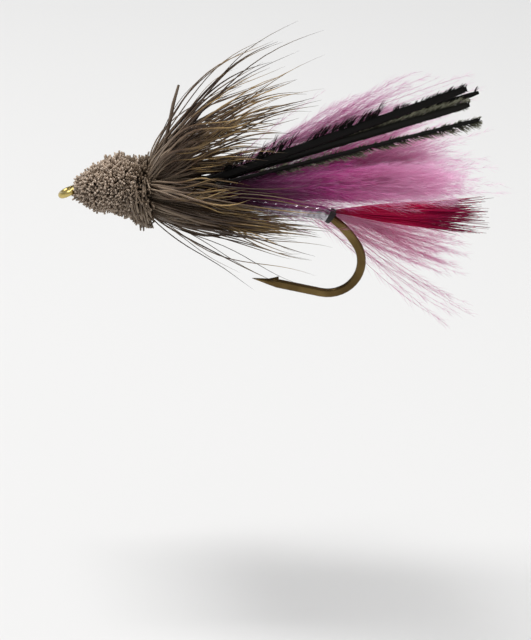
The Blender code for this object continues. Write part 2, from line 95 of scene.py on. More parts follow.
# Bronzed steel gives the eye a warm brown gleam that slides along the wire, and a painted highlight turns
# the eye gold.
bronze, tree, shader = blank("bronzed_steel")
place = add(tree, "ShaderNodeNewGeometry").outputs["Position"]
pools = add(tree, "ShaderNodeTexNoise", {"Vector": place, "Scale": 1 / (POOL * MM), "Detail": 3.0})
grain = add(tree, "ShaderNodeTexNoise", {"Vector": place, "Scale": 1 / (GRAIN * MM), "Detail": 2.0})
along = add(tree, "ShaderNodeSeparateXYZ", {"Vector": place}).outputs["X"]
bright = add(tree, "ShaderNodeMapRange", {
    "Value": along, "From Min": EYE_END * MM, "From Max": NECK_END * MM, "To Min": EYE_HIGHLIGHT, "To Max": 0.0})
tone = add(tree, "ShaderNodeMath", {0: pools.outputs["Fac"], 1: bright.outputs["Result"]}, operation="ADD")
shade = add(tree, "ShaderNodeValToRGB", {"Fac": tone.outputs["Value"]}, (
    (0.30, "#4a3a1e"), (0.50, "#5e4b2a"), (0.66, "#75613a"), (1.0, "#c9b470")))
tree.links.new(shade.outputs["Color"], shader.inputs["Base Color"])
shader.inputs["Metallic"].default_value = 0.88
gloss = add(tree, "ShaderNodeMapRange", {
    "Value": grain.outputs["Fac"], "To Min": 0.18, "To Max": 0.30})
tree.links.new(gloss.outputs["Result"], shader.inputs["Roughness"])
round_off = add(tree, "ShaderNodeBevel", {"Radius": EDGE * MM}, samples=4)
drawn = add(tree, "ShaderNodeBump", {
    "Height": grain.outputs["Fac"], "Strength": 0.10, "Distance": GRAIN_DEPTH * MM,
    "Normal": round_off.outputs["Normal"]})
tree.links.new(drawn.outputs["Normal"], shader.inputs["Normal"])
dress("hook", bronze)


# Thread base and thread bands
# Waxed nylon tying thread, about 0.12 mm, wound along the shank and in tight bands.
# The bands bind the tail, the wing, the collar and the bunches of the head, and the last
# one is whipped off behind the eye.

THREAD = 0.12           # mm thick, so one turn from the next
WAVE = math.tau / 20    # scale at which the wave pattern repeats once in a unit


def thread_skin(name, dark, light):
    """Waxed thread: fine even rings, each turn lighter on its crown, a painted sheen of the dull wax."""
    skin, tree, shader = blank(name)
    place = add(tree, "ShaderNodeNewGeometry").outputs["Position"]
    turns = add(tree, "ShaderNodeTexWave", {
        "Vector": place, "Scale": WAVE / (THREAD * MM), "Distortion": 1.0, "Detail": 2.0},
        bands_direction="X")
    shade = add(tree, "ShaderNodeValToRGB", {"Fac": turns.outputs["Fac"]}, ((0.0, dark), (1.0, light)))
    tree.links.new(shade.outputs["Color"], shader.inputs["Base Color"])
    shader.inputs["Roughness"].default_value = 0.46
    bump = add(tree, "ShaderNodeBump", {
        "Height": turns.outputs["Fac"], "Strength": 0.6, "Distance": THREAD / 4 * MM})
    tree.links.new(bump.outputs["Normal"], shader.inputs["Normal"])
    return skin


black_thread = thread_skin("black_waxed_thread", "#0b0a0a", "#2a2826")
grey_thread = thread_skin("grey_waxed_thread", "#211d19", "#544a40")
for node in ("thread_base", "tail_band"):
    dress(node, black_thread)
for node in ("wing_band", "collar_band", "head_band_rear", "head_band_front", "whip_finish"):
    dress(node, grey_thread)


# Tinsel body
# Flat silver tinsel wound forward in overlapping turns over the thread base.
# Metallised film, bright and slightly crinkled, each turn lapped on the one before.

NECK_X = 1.35       # mm from the eye's centre back to the shank's front end
SHANK_Z = 0.62      # mm from the eye's centre up to the shank
SHANK = 22.6        # mm of straight wire
ARCS = ((3.3, 32.0), (10.0, 20.0))      # radius in mm and turn in degrees of the bend's first two arcs


def wire(s):
    """Point and outward normal of the hook wire, s mm behind the shank's front end."""
    point = np.array([NECK_X + min(s, SHANK), 0.0, SHANK_Z])
    left = s - SHANK
    turned = 0.0
    for radius, turn in ARCS:
        if left <= 0.0:
            break
        step = min(left / radius, math.radians(turn))
        point[0] += radius * (math.sin(turned + step) - math.sin(turned))
        point[2] -= radius * (math.cos(turned) - math.cos(turned + step))
        turned += step
        left -= radius * step
    normal = np.array([math.sin(turned), 0.0, math.cos(turned)])
    return point, normal


def box(node):
    """Lowest and highest corner of a CAD node, in mm."""
    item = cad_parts[node]
    spots = np.array([item.matrix_world @ vert.co for vert in item.data.vertices]) / MM
    return spots.min(axis=0), spots.max(axis=0)


def mesh_piece(name, verts, faces, uv=None, skin=None):
    """A smooth-shaded mesh object in metres, with the strand map where one is given."""
    mesh = bpy.data.meshes.new(name)
    mesh.from_pydata((np.asarray(verts) * MM).tolist(), [], np.asarray(faces).tolist())
    mesh.polygons.foreach_set("use_smooth", np.ones(len(mesh.polygons), dtype=bool))
    if uv is not None:
        layer = mesh.uv_layers.new(name="OFBake")
        layer.data.foreach_set("uv", np.asarray(uv, dtype=np.float32).ravel())
    piece = bpy.data.objects.new(name, mesh)
    bpy.context.scene.collection.objects.link(piece)
    if skin:
        mesh.materials.append(skin)
    return piece


TINSEL_FROM = box("tinsel_body")[0][0] - NECK_X
TINSEL_TO = 23.89   # mm behind the shank's front end
TINSEL_R = 0.63     # mm from the wire's middle to the film where it is lowest
TINSEL_STEP = 0.055     # mm that a turn's edge stands over the one before
TINSEL_TURNS = 15
TINSEL_SIDES = 32
TURN_STEPS = 10     # rings of points to a turn
LAP_CLOSE = 1.12    # above 1, so that a turn is down at its lowest a little before its end
rows = []
steps = TINSEL_TURNS * TURN_STEPS
for i in range(steps + 1):
    point, normal = wire(TINSEL_FROM + (TINSEL_TO - TINSEL_FROM) * i / steps)
    for k in range(TINSEL_SIDES):
        angle = math.tau * k / TINSEL_SIDES
        lap = (TINSEL_TURNS * i / steps - k / TINSEL_SIDES) % 1.0
        r = TINSEL_R + TINSEL_STEP * (1.0 - min(lap * LAP_CLOSE, 1.0))
        rows.append(point + normal * r * math.cos(angle) + np.array([0, r * math.sin(angle), 0]))
quads = []
for i in range(steps):
    for k in range(TINSEL_SIDES):
        j = (k + 1) % TINSEL_SIDES
        quads.append((i * TINSEL_SIDES + k, i * TINSEL_SIDES + j,
                      (i + 1) * TINSEL_SIDES + j, (i + 1) * TINSEL_SIDES + k))
CRINKLE = 0.38      # mm across a crinkle of the film
CRINKLE_DEPTH = 0.04    # mm deep
# Silver tinsel gives the eye a broken white glitter, bright on each lap and grey between; its colour follows
# the crinkle, with painted glints on the raised film and painted shade in its hollows.
silver, tree, shader = blank("silver_tinsel")
place = add(tree, "ShaderNodeNewGeometry").outputs["Position"]
crinkle = add(tree, "ShaderNodeTexNoise", {"Vector": place, "Scale": 1 / (CRINKLE * MM), "Detail": 3.0})
shade = add(tree, "ShaderNodeValToRGB", {"Fac": crinkle.outputs["Fac"]}, (
    (0.25, "#7c797f"), (0.6, "#bdb9c0"), (0.8, "#f0f0ee")))
tree.links.new(shade.outputs["Color"], shader.inputs["Base Color"])
shader.inputs["Metallic"].default_value = 1.0
shader.inputs["Roughness"].default_value = 0.24
bump = add(tree, "ShaderNodeBump", {
    "Height": crinkle.outputs["Fac"], "Strength": 0.5, "Distance": CRINKLE_DEPTH * MM})
tree.links.new(bump.outputs["Normal"], shader.inputs["Normal"])
tinsel = mesh_piece("tinsel_wraps", rows, quads, skin=silver)
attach(tinsel, "root")
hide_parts("tinsel_body")


# Tail
# A bunch of stiff cock-hackle fibres, dyed crimson, bound on top of the bend.
# Each fibre is a fine taper with short barbicels left on it, dark at the tip, and darkened towards its root,
# a painted shade.

SLOTS = 128     # columns of the strand map: as many tints for the fibres of a material
SLOT_EDGES = (0.15, 0.85)       # shares of its column that a fibre takes, clear of the next
rng = np.random.default_rng(7)


def tubes(paths, widths, sides, lean=None, oval=1.0, reach=(0.004, 0.996), slots=None):
    """Vertices, faces and strand map of many tapered fibres: u picks the fibre's slot, v runs along it.

    Fibres turn at random about their own length, unless lean fixes the way their narrow side,
    oval times the width, faces; two sides make a flat ribbon. Slots are random unless given.
    """
    paths = np.asarray(paths, dtype=float)
    widths = np.asarray(widths, dtype=float)
    n, k, _ = paths.shape
    head = np.gradient(paths, axis=1)
    head /= np.linalg.norm(head, axis=2, keepdims=True) + 1e-12
    if lean is None:
        lean = rng.normal(size=(n, 1, 3))
    side = np.cross(head, np.broadcast_to(lean, head.shape))
    side /= np.linalg.norm(side, axis=2, keepdims=True) + 1e-12
    up = np.cross(side, head) * oval
    angles = np.arange(sides) * math.tau / sides
    ring = (side[:, :, None, :] * np.cos(angles)[None, None, :, None]
            + up[:, :, None, :] * np.sin(angles)[None, None, :, None])
    verts = paths[:, :, None, :] + ring * widths[:, :, None, None] / 2
    around = 1 if sides == 2 else sides
    base = (np.arange(n)[:, None, None] * k + np.arange(k - 1)[None, :, None]) * sides
    a = base + np.arange(around)[None, None, :]
    b = base + (np.arange(around)[None, None, :] + 1) % sides
    faces = np.stack([a, b, b + sides, a + sides], axis=-1).reshape(-1, 4)
    if slots is None:
        slots = rng.integers(0, SLOTS, n)
    u0 = (slots + SLOT_EDGES[0]) / SLOTS
    u1 = (slots + SLOT_EDGES[1]) / SLOTS
    v = np.linspace(*reach, k)
    shape = (n, k - 1, around)
    left = np.broadcast_to(u0[:, None, None], shape)
    right = np.broadcast_to(u1[:, None, None], shape)
    low = np.broadcast_to(v[None, :-1, None], shape)
    high = np.broadcast_to(v[None, 1:, None], shape)
    uv = np.stack([np.stack([left, low], -1), np.stack([right, low], -1),
                   np.stack([right, high], -1), np.stack([left, high], -1)], axis=-2)
    return verts.reshape(-1, 3), faces, uv.reshape(-1, 2)


def gather(name, groups, skin):
    """One object from several groups of fibres."""
    verts, faces, uv, count = [], [], [], 0
    for v, f, t in groups:
        verts.append(v)
        faces.append(f + count)
        uv.append(t)
        count += len(v)
    return mesh_piece(name, np.concatenate(verts), np.concatenate(faces), np.concatenate(uv), skin)


def fibre_skin(name, stops, other, rough, glow=0.0, sheen=0.0, fades=(), gloss=0.5, rare=1.0):
    """Fibre material: one run of colour along each fibre, mixed by slot towards a second run.

    The higher rare is, the fewer fibres come near the second run. A fade is two places along
    the fly in mm, between which the fibres' own colour goes over to the fade's colour, then
    that colour and its share. glow is the share of light that comes through the fibres.
    """
    skin, tree, shader = blank(name)
    flat = add(tree, "ShaderNodeUVMap", uv_map="OFBake")
    split = add(tree, "ShaderNodeSeparateXYZ", {"Vector": flat.outputs["UV"]})
    scaled = add(tree, "ShaderNodeMath", {0: split.outputs["X"], 1: float(SLOTS)}, operation="MULTIPLY")
    slot = add(tree, "ShaderNodeMath", {0: scaled.outputs["Value"]}, operation="FLOOR")
    noise = add(tree, "ShaderNodeTexWhiteNoise", {"W": slot.outputs["Value"]}, noise_dimensions="1D")
    pick = add(tree, "ShaderNodeMath", {0: noise.outputs["Value"], 1: rare}, operation="POWER")
    run = add(tree, "ShaderNodeValToRGB", {"Fac": split.outputs["Y"]}, stops)
    second = add(tree, "ShaderNodeValToRGB", {"Fac": split.outputs["Y"]}, other)
    colour = add(tree, "ShaderNodeMix", {
        "Factor": pick.outputs["Value"], 6: run.outputs["Color"], 7: second.outputs["Color"]},
        data_type="RGBA").outputs[2]
    for own, gone, tint, most in fades:
        place = add(tree, "ShaderNodeNewGeometry").outputs["Position"]
        along = add(tree, "ShaderNodeSeparateXYZ", {"Vector": place}).outputs["X"]
        fade = add(tree, "ShaderNodeMapRange", {
            "Value": along, "From Min": own * MM, "From Max": gone * MM, "To Max": most},
            interpolation_type="SMOOTHSTEP")
        colour = add(tree, "ShaderNodeMix", {
            "Factor": fade.outputs["Result"], 6: colour, 7: linear(tint)}, data_type="RGBA").outputs[2]
    tree.links.new(colour, shader.inputs["Base Color"])
    shader.inputs["Roughness"].default_value = rough
    shader.inputs["Specular IOR Level"].default_value = gloss
    shader.inputs["Sheen Weight"].default_value = sheen
    if glow:
        through = add(tree, "ShaderNodeBsdfTranslucent", {"Color": colour})
        both = add(tree, "ShaderNodeMixShader", {
            0: glow, 1: shader.outputs["BSDF"], 2: through.outputs["BSDF"]})
        tree.links.new(both.outputs["Shader"], tree.nodes["Material Output"].inputs["Surface"])
    return skin


def barbules(paths, per, length, angle, width, start=0.12, droop=0.0):
    """Short fine side hairs along fibres, leaning towards each fibre's tip and shorter near it.

    angle is how far they lean off the fibre, in radians; their lengths and leans vary by about a third.
    """
    n, k, _ = paths.shape
    t = start + (0.97 - start) * rng.random((n, per))
    where = t * (k - 1)
    i = np.minimum(where.astype(int), k - 2)
    part = (where - i)[..., None]
    rows = np.arange(n)[:, None]
    root = paths[rows, i] * (1 - part) + paths[rows, i + 1] * part
    head = paths[rows, i + 1] - paths[rows, i]
    head /= np.linalg.norm(head, axis=2, keepdims=True) + 1e-12
    out = np.cross(head, rng.normal(size=head.shape))
    out /= np.linalg.norm(out, axis=2, keepdims=True) + 1e-12
    size = length * (0.55 + 0.6 * rng.random((n, per, 1))) * (1.0 - 0.45 * t[..., None])
    lean = angle * (0.7 + 0.6 * rng.random((n, per, 1)))
    first = root + size * 0.5 * (head * np.cos(lean) + out * np.sin(lean))
    tip = first + size * 0.5 * (head * np.cos(lean * 0.5) + out * np.sin(lean * 0.5))
    tip[..., 2] -= droop * size[..., 0]
    line = np.stack([root, first, tip], axis=2).reshape(-1, 3, 3)
    wide = np.tile(np.array([1.0, 0.8, 0.25]) * width, (len(line), 1))
    return line, wide


TAIL_AT = 24.3      # mm behind the shank's front end
TAIL_COUNT = 190
TAIL_LENGTH = 15.2
TAIL_SHARE = (0.62, 0.86, 1.03)     # least, usual and most of that length
TAIL_PITCH = (-5.0, 6.5, 13.0)      # least, usual and most rise in degrees
TAIL_YAW = 6.0      # degrees to either side
TAIL_WIDTH = 0.11
TAIL_SEAT = 0.72    # mm from the wire's middle to the roots, and more for those that rise
TAIL_STACK = 0.012  # mm more for each degree of rise
TAIL_HALF = 0.36    # mm from the middle of the roots to their sides
TAIL_BOW = 0.2      # mm by which fibres usually bow up or down
TAIL_DRIFT = 0.3    # mm by which their tips usually lie off to a side
BARBICELS = 30      # on each fibre
BARBICEL_LENGTH = 0.6
BARBICEL_LEAN = 0.45
BARBICEL_WIDTH = 0.026
root, normal = wire(TAIL_AT)
t = np.linspace(0, 1, 9)
paths, widths = [], []
for _ in range(TAIL_COUNT):
    across = rng.uniform(-1, 1)
    pitch = rng.triangular(*TAIL_PITCH)
    base = root + normal * (TAIL_SEAT + TAIL_STACK * pitch) + np.array([0, TAIL_HALF * across, 0])
    yaw = math.radians(TAIL_YAW) * across
    pitch = math.radians(pitch)
    aim = np.array([math.cos(pitch) * math.cos(yaw), math.sin(yaw), math.sin(pitch)])
    path = base + np.outer(t * TAIL_LENGTH * rng.triangular(*TAIL_SHARE), aim)
    path[:, 2] += rng.normal(0, TAIL_BOW) * np.sin(t * math.pi)
    path[:, 1] += rng.normal(0, TAIL_DRIFT) * t * t
    paths.append(path)
    widths.append(TAIL_WIDTH * np.interp(t, (0, 0.25, 0.8, 1), (0.8, 1.0, 0.75, 0.25)))
paths = np.array(paths)
line, wide = barbules(paths, BARBICELS, BARBICEL_LENGTH, BARBICEL_LEAN, BARBICEL_WIDTH, 0.1)
# Crimson hackle gives the eye separate stiff fibres that glow red against the light; the darkening towards
# their roots is painted shade.
crimson = fibre_skin(
    "crimson_hackle",
    ((0.0, "#ba0448"), (0.2, "#d20452"), (0.62, "#de065a"), (0.88, "#b40c54"), (1.0, "#601032")),
    ((0.0, "#960434"), (0.2, "#b6023e"), (0.55, "#cc044c"), (0.84, "#940e48"), (1.0, "#4a1426")),
    0.45, 0.25, 0.0, ((28.0, 24.5, "#5a0620", 1.0),), 0.2)
tail = gather("tail_hackle", (tubes(paths, widths, 4), tubes(line, wide, 2)), crimson)
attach(tail, "root")
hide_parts("tail_fibres")


# Marabou wing
# Four plumes of marabou down, dyed magenta pink, bound on the shank behind the head.
# Fine quills carry long soft barbs, and the barbs a haze of barbules that catches the light.

WING_X = box("wing_band")[1][0]
TUCK = 0.9          # mm of a strand's root under the thread
HELD = 0.55         # how firmly the thread holds a strand down at first
ROOT_RING = 0.705   # mm from the wire's middle to a quill
PLUME_BARE = 3.2    # mm over which a quill turns to its rise
QUILL_WIDTH = (0.22, 0.08)      # at its root and end
BARB_WIDTH = 0.055
BARB_SHARE = (0.6, 1.1)         # least and most of a plume's barb length
BARB_CURL = 0.28    # mm of slow curl
BARB_RIPPLE = (0.02, 0.07)      # mm, least and most, of the fine ripple on it
BARB_SAG = 0.4
DOWN_LENGTH = 1.9   # barbules, drawn a little thicker than real ones
DOWN_LEAN = 0.48
DOWN_WIDTH = 0.021


def wing_line(ring, angle, rise, splay, run, length, count):
    """Centre line of one wing strand, starting under the thread and turning to its rise and splay."""
    leave = np.array([WING_X, ring * math.sin(angle), SHANK_Z + ring * math.cos(angle)])
    line = [leave - np.array([TUCK, 0, 0]), leave]
    for i in range(1, count + 1):
        d = length * i / count
        eased = min(d / run, 1.0)
        up = math.tan(rise) * (d - run * eased * (1.0 - eased / 2) * HELD)
        line.append(leave + np.array([
            d * math.cos(rise), math.tan(splay) * d, up * math.cos(rise)]))
    return np.array(line)


def along_line(line, d):
    """Point, heading and upward normal at a fraction of a line."""
    where = d * (len(line) - 1)
    i = min(int(where), len(line) - 2)
    head = line[i + 1] - line[i]
    base = line[i] + head * (where - i)
    head = head / np.linalg.norm(head)
    return base, head, np.array([-head[2], 0, head[0]])


def spread_out(t):
    """Share of its side reach that a barb has along its length: it leaves steeply, then flattens."""
    return 1.4 * t - 0.4 * t * t


SHAFT_RUN = (0.0, 0.40)     # part of the colour run that barbs take, and the part for barbules
DOWN_RUN = (0.45, 0.99)
# Marabou gives the eye a soft haze that lets light through: dark plum at the root, a painted shade, magenta
# in the middle and nearly white at the ends and towards the rear, a painted highlight; the crest and the low
# wisps are paler.
pink = fibre_skin(
    "magenta_marabou",
    ((0.0, "#a81078"), (0.40, "#c03a98"), (0.45, "#c62494"), (0.75, "#d64cae"), (1.0, "#e89ed0")),
    ((0.0, "#c02e96"), (0.40, "#d462b6"), (0.45, "#ea5abc"), (0.75, "#f8a2da"), (1.0, "#ffe0f4")),
    0.6, 0.55, 0.1, ((28.0, 15.0, "#3a062c", 1.0), (25.0, 36.0, "#ffdcf2", 0.95)), 0.2)
pale_pink = fibre_skin(
    "pale_marabou",
    ((0.0, "#c85aa0"), (0.40, "#dc90c2"), (0.45, "#e8a8d0"), (1.0, "#f0c8e4")),
    ((0.0, "#d478b2"), (0.40, "#e6aed4"), (0.45, "#f6cce8"), (1.0, "#fdeaf7")),
    0.6, 0.65, 0.1, gloss=0.2)
rose = fibre_skin(
    "rose_marabou",
    ((0.0, "#ca3484"), (0.40, "#da70ae"), (0.45, "#f09cca"), (1.0, "#f8cce4")),
    ((0.0, "#d65098"), (0.40, "#e892c2"), (0.45, "#fec8e6"), (1.0, "#fff4fb")),
    0.6, 0.7, 0.1, gloss=0.2)
# name, then angle on the shank, rise and splay in degrees, quill's length, barbs, their length, their
# spread (down, usual, up) and lean sideways as slopes, where along the quill the first one grows, barbules
# on a barb, long single wisps as place, slope and length, and the skin
PLUMES = (
    ("marabou_near", -66, 9.5, -4.6, 19.5, 330, 15.0, (-0.16, 0.07, 0.36), -0.10, 0.06, 100,
     ((0.9, 0.03, 14.6), (0.95, 0.2, 13.0), (0.92, -0.02, 14.8)), pink),
    ("marabou_far", 84, 9.5, 5.2, 18.5, 430, 15.0, (-0.30, 0.18, 0.70), 0.10, 0.06, 90,
     ((0.9, 0.1, 14.4), (0.95, 0.3, 13.4), (0.6, 0.42, 14.0), (0.7, 0.5, 13.0), (0.8, 0.45, 13.0),
      (0.5, 0.5, 13.0), (0.85, 0.4, 13.5), (0.75, 0.36, 15.0), (0.65, 0.55, 12.0)), pink),
    ("marabou_crest", 44, 29.0, 5.5, 18.5, 80, 12.5, (-0.28, -0.04, 0.42), 0.10, 0.30, 70,
     ((0.90, -0.10, 14.6), (0.80, -0.04, 15.6), (0.96, -0.16, 14.2), (0.74, 0.04, 15.0), (0.86, -0.20, 15.2),
      (0.98, -0.05, 13.4), (0.68, -0.12, 17.4)), pale_pink),
    ("marabou_skirt", 118, 0.5, 3.0, 17.0, 76, 16.0, (-0.56, -0.10, 0.03), -0.06, 0.72, 90,
     ((0.9, -0.60, 15.4), (0.85, -0.62, 15.0), (0.9, -0.78, 13.1), (0.88, -0.70, 13.8), (0.92, -0.56, 14.8),
      (0.8, -0.66, 14.5), (0.94, -0.64, 14.2)), rose),
)
t = np.linspace(0, 1, 12)
for name, angle, rise, splay, quill, count, barb, spread, aside, begin, fluff, wisps, skin in PLUMES:
    turns = [math.radians(a) for a in (angle, rise, splay)]
    line = wing_line(ROOT_RING, *turns, PLUME_BARE, quill, 12)
    grown = list(wisps)
    for _ in range(count):
        at = begin + (1.0 - begin) * rng.random() ** 0.8
        reach = barb * (1.0 - 0.3 * (at - begin) / (1.0 - begin)) * rng.uniform(*BARB_SHARE)
        grown.append((at, rng.triangular(*spread) - 0.10 * max(0.0, 1.0 - at / 0.4), reach))
    paths, widths = [], []
    for at, slope, reach in grown:
        base, head, upward = along_line(line, at)
        path = base + np.outer(t * reach, head) + np.outer(spread_out(t) * slope * reach, upward)
        path[:, 1] += aside * reach * t * rng.uniform(-0.6, 1.0)
        for axis in (1, 2):
            curl = rng.normal(0, BARB_CURL) * t * np.sin(t * rng.uniform(2, 5) + rng.uniform(0, 6))
            path[:, axis] += curl + rng.uniform(*BARB_RIPPLE) * t * np.sin(t * rng.uniform(7, 14))
        path[:, 2] -= BARB_SAG * t * t
        paths.append(path)
        widths.append(BARB_WIDTH * np.interp(t, (0, 0.4, 1), (1.0, 0.7, 0.2)))
    paths = np.array(paths)
    fine, wide = barbules(paths, fluff, DOWN_LENGTH, DOWN_LEAN, DOWN_WIDTH, 0.06, 0.03)
    stem = tubes([line], [np.interp(np.linspace(0, 1, len(line)), (0, 1), QUILL_WIDTH)], 6)
    own = rng.integers(0, SLOTS, len(paths))
    shafts = tubes(paths, widths, 3, reach=SHAFT_RUN, slots=own)
    down = tubes(fine, wide, 2, reach=DOWN_RUN, slots=np.repeat(own, fluff))
    plume = gather(name + "_down", (stem, shafts, down), skin)
    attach(plume, "root")
    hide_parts(name)


# Herls
# Four black herls tied in over the marabou: flat quills on edge, fringed with flue that leans back.
# Dyed peacock-type herl, black, cut square at the ends; the olive on its flue is a painted sheen.

HERL_RING = 1.05    # mm from the wire's middle to a herl
HERL_RUN = 5.0      # mm over which it turns to its rise
HERL_THIN = 0.22    # its thickness as a share of its depth
# Herl gives the eye flat black with a frayed edge; the olive on the flue is a painted sheen.
herl_black = fibre_skin(
    "black_herl",
    ((0.0, "#040201"), (0.6, "#0a0604"), (1.0, "#1e160f")),
    ((0.0, "#030201"), (0.6, "#0b0806"), (1.0, "#322a1e")),
    0.5, gloss=0.15)
herl_painted_sheen = fibre_skin(
    "black_herl_painted_sheen",
    ((0.0, "#040201"), (0.3, "#1c1e14"), (1.0, "#7e7e68")),
    ((0.0, "#030201"), (0.3, "#3a3a2c"), (1.0, "#b4b39a")),
    0.4, gloss=0.18)
# name, angle on the shank, rise, splay, length, depth, then rows of flue as upper or lower edge, tufts,
# hairs in a tuft, length and where along the herl it starts and ends, and the skin
HERLS = (
    ("herl_1", -20, 26.6, -0.4, 30.0, 0.86, (
        (1, 44, 8, 2.0, 0.20, 0.74), (1, 24, 5, 0.7, 0.74, 0.995), (-1, 60, 3, 0.3, 0.4, 1.0)), herl_black),
    ("herl_2", 2, 23.1, -0.2, 29.7, 0.80, (
        (1, 200, 4, 1.0, 0.45, 1.0), (-1, 40, 3, 0.3, 0.3, 1.0)), herl_painted_sheen),
    ("herl_3", -42, 20.9, -0.8, 30.4, 0.40, (
        (1, 60, 4, 0.45, 0.3, 1.0), (-1, 150, 5, 1.1, 0.35, 1.0)), herl_painted_sheen),
    ("herl_4", 24, 24.6, 0.5, 30.9, 0.62, (
        (1, 70, 4, 0.8, 0.3, 1.0), (-1, 50, 4, 0.4, 0.3, 1.0)), herl_black),
)
FLUE_WIDTH = 0.07
FLUE_LEAN = (0.35, 0.85)        # least and most of a tuft's lean off the quill, in radians
FLUE_LOOSE = 0.10   # radians by which the hairs of a tuft usually differ
FLUE_SPLAY = 0.25   # slope by which they usually lean to the sides
FLUE_PAST = 0.25    # mm that the flue may pass the herl's end
TUFT_SPREAD = 0.006     # of the herl's length
t = np.linspace(0, 1, 5)
for name, angle, rise, splay, length, depth, flue, skin in HERLS:
    turns = [math.radians(a) for a in (angle, rise, splay)]
    line = wing_line(HERL_RING, *turns, HERL_RUN, length, 40)
    spots = np.linspace(0, 1, len(line))
    depth = depth * np.interp(spots, (0, 0.05, 0.14, 0.7, 0.97, 1), (0.25, 0.25, 1, 1, 0.85, 0.5))
    depth = depth * rng.uniform(0.9, 1.08, len(line))
    groups = [tubes([line], [depth], 8, lean=(0, 1, 0), oval=HERL_THIN, reach=(0.0, 0.05))]
    for way, tufts, hairs, size, start, end in flue:
        paths, widths = [], []
        for _ in range(tufts):
            middle = rng.uniform(start, end)
            tuft_lean = rng.uniform(*FLUE_LEAN)
            tuft_size = size * rng.uniform(0.5, 1.1)
            for _ in range(hairs):
                at = min(max(middle + rng.normal(0, TUFT_SPREAD), 0.0), 1.0)
                base, head, upward = along_line(line, at)
                half = np.interp(at, spots, depth) / 2
                lean = tuft_lean + rng.normal(0, FLUE_LOOSE)
                reach = min(tuft_size * rng.uniform(0.7, 1.1), FLUE_PAST + length * (1.0 - at))
                out = upward * way + np.array([0, rng.normal(0, FLUE_SPLAY), 0])
                path = base + upward * way * half * 0.8
                path = path + np.outer(t * reach, head * math.cos(lean))
                path += np.outer(spread_out(t) * reach * math.sin(lean), out)
                paths.append(path)
                widths.append(FLUE_WIDTH * np.interp(t, (0, 0.6, 1), (1.0, 0.8, 0.25)))
        groups.append(tubes(paths, widths, 3))
    herl = gather(name + "_flue", groups, skin)
    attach(herl, "root")
    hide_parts(name)


# Collar
# Deer hair spun round the shank, its tips flared back on every side and most of all on top.
# Natural hollow hair: grey-brown shafts with fine dark tips, some with a tan band before the tip.

# The hair has a seed of its own, so that its locks stay as they are when the wing changes.
rng = np.random.default_rng(13)
COLLAR_X = box("head_butts")[1][0]
CLUMPS = 12         # locks in a bunch
BUNCH_HALF = 48.0   # degrees from a bunch's middle to its edge
LOCK_HALF = 6.0     # degrees, the usual distance of a hair's root from the middle of its lock
LOCK_CLOSE = 0.75   # how far a lock has closed at its tip
LOCK_SWAY = (0.08, 0.24)        # radians, least and most, by which a lock waves
WAVES = (8.0, 6.0)  # radians of wave along a hair, out from the shank and round it
HAIR_SHARE = (0.55, 1.1)        # least and most of the bunch's length
HAIR_WIDTH = (0.19, 0.33)
HAIR_SWAY = 0.06    # radians by which a hair usually waves for itself
HAIR_SAG = 0.3
ROOTS_IN = 0.7      # mm from the wire's middle to the innermost roots
ROOTS_DEEP = (1.6, 0.6)         # mm from there to the outermost at the sides, and how much more on top
STRAY_ROOT = 1.6    # mm from the wire's middle
STRAY_SWAY = (0.05, 0.16)
UNDERFUR = 70       # shorter hairs that lie close along the body on the near side
UNDERFUR_SPAN = (-105, -30)     # degrees round the shank
UNDERFUR_FLARE = (-2, 5)        # degrees of lean
UNDERFUR_LENGTH = (5.0, 13.0)
UNDERFUR_ROOT = 0.9
UNDERFUR_SWAY = 0.06
PART_AT = -44.0     # degrees round the shank where the hair parts
PART_REACH = 50.0   # degrees from there to hair that lies as it grew
PART_UP = 14.0      # degrees by which the hair above the parting is laid up
PART_DOWN = 10.0    # degrees by which the hair below it is laid down
FLARE_LEAST = (-1.0, 25.0)      # degrees of lean under the shank, and how much more on top
FLARE_MOST = (10.0, 43.0)
# Deer hair gives the eye smooth satin strands, taupe to umber, some with a tan band by the tip.
deer = fibre_skin(
    "deer_hair_tips",
    ((0.0, "#5e4e40"), (0.25, "#4a3a2e"), (0.6, "#30221a"), (0.9, "#3e2c1e"), (1.0, "#170f08")),
    ((0.0, "#bcaa96"), (0.25, "#a08c78"), (0.55, "#684f3a"), (0.84, "#c8a66e"), (1.0, "#2e1f10")),
    0.36, gloss=0.35, rare=1.3)


def collar_hair(angle, aside, flare, length, start, sway):
    """Path of one hair: it stands off the shank, bends back hard, then waves towards its tip.

    aside is its place in its lock, which closes towards the tip; sway is the waves' size and start.
    The hair parts on the near side, so that the wing's roots show.
    """
    t = np.linspace(0, 1, 16)
    bow = np.radians(np.interp(t, (0, 0.05, 0.16, 0.45, 1), (34, 22, 12, 1, -15)))
    turn = flare + bow * rng.uniform(0.6, 1.2) * (0.75 + 0.35 * math.cos(angle))
    own = rng.normal(0, HAIR_SWAY) * np.sin(t * rng.uniform(3.0, 9.0))
    turn += sway[0] * np.sin(t * WAVES[0] + sway[1]) + own
    step = np.diff(t) * length
    x = np.concatenate([[0], np.cumsum(np.cos(turn[:-1]) * step)]) + COLLAR_X - rng.uniform(0.0, 0.35)
    r = np.concatenate([[0], np.cumsum(np.sin(turn[:-1]) * step)]) + start
    from_part = math.degrees(math.remainder(angle, math.tau)) - PART_AT
    open_by = (PART_UP if from_part > 0 else -PART_DOWN) * max(0.0, 1.0 - abs(from_part) / PART_REACH)
    swing = angle + aside * (1.0 - LOCK_CLOSE * t) + math.radians(open_by) * np.minimum(1.0, 2.0 * t)
    swing += sway[0] * 0.6 * t * np.sin(t * WAVES[1] + 2.0 * sway[1])
    path = np.stack([x, r * np.sin(swing), SHANK_Z + r * np.cos(swing)], axis=1)
    path[:, 2] -= HAIR_SAG * t * t
    return path


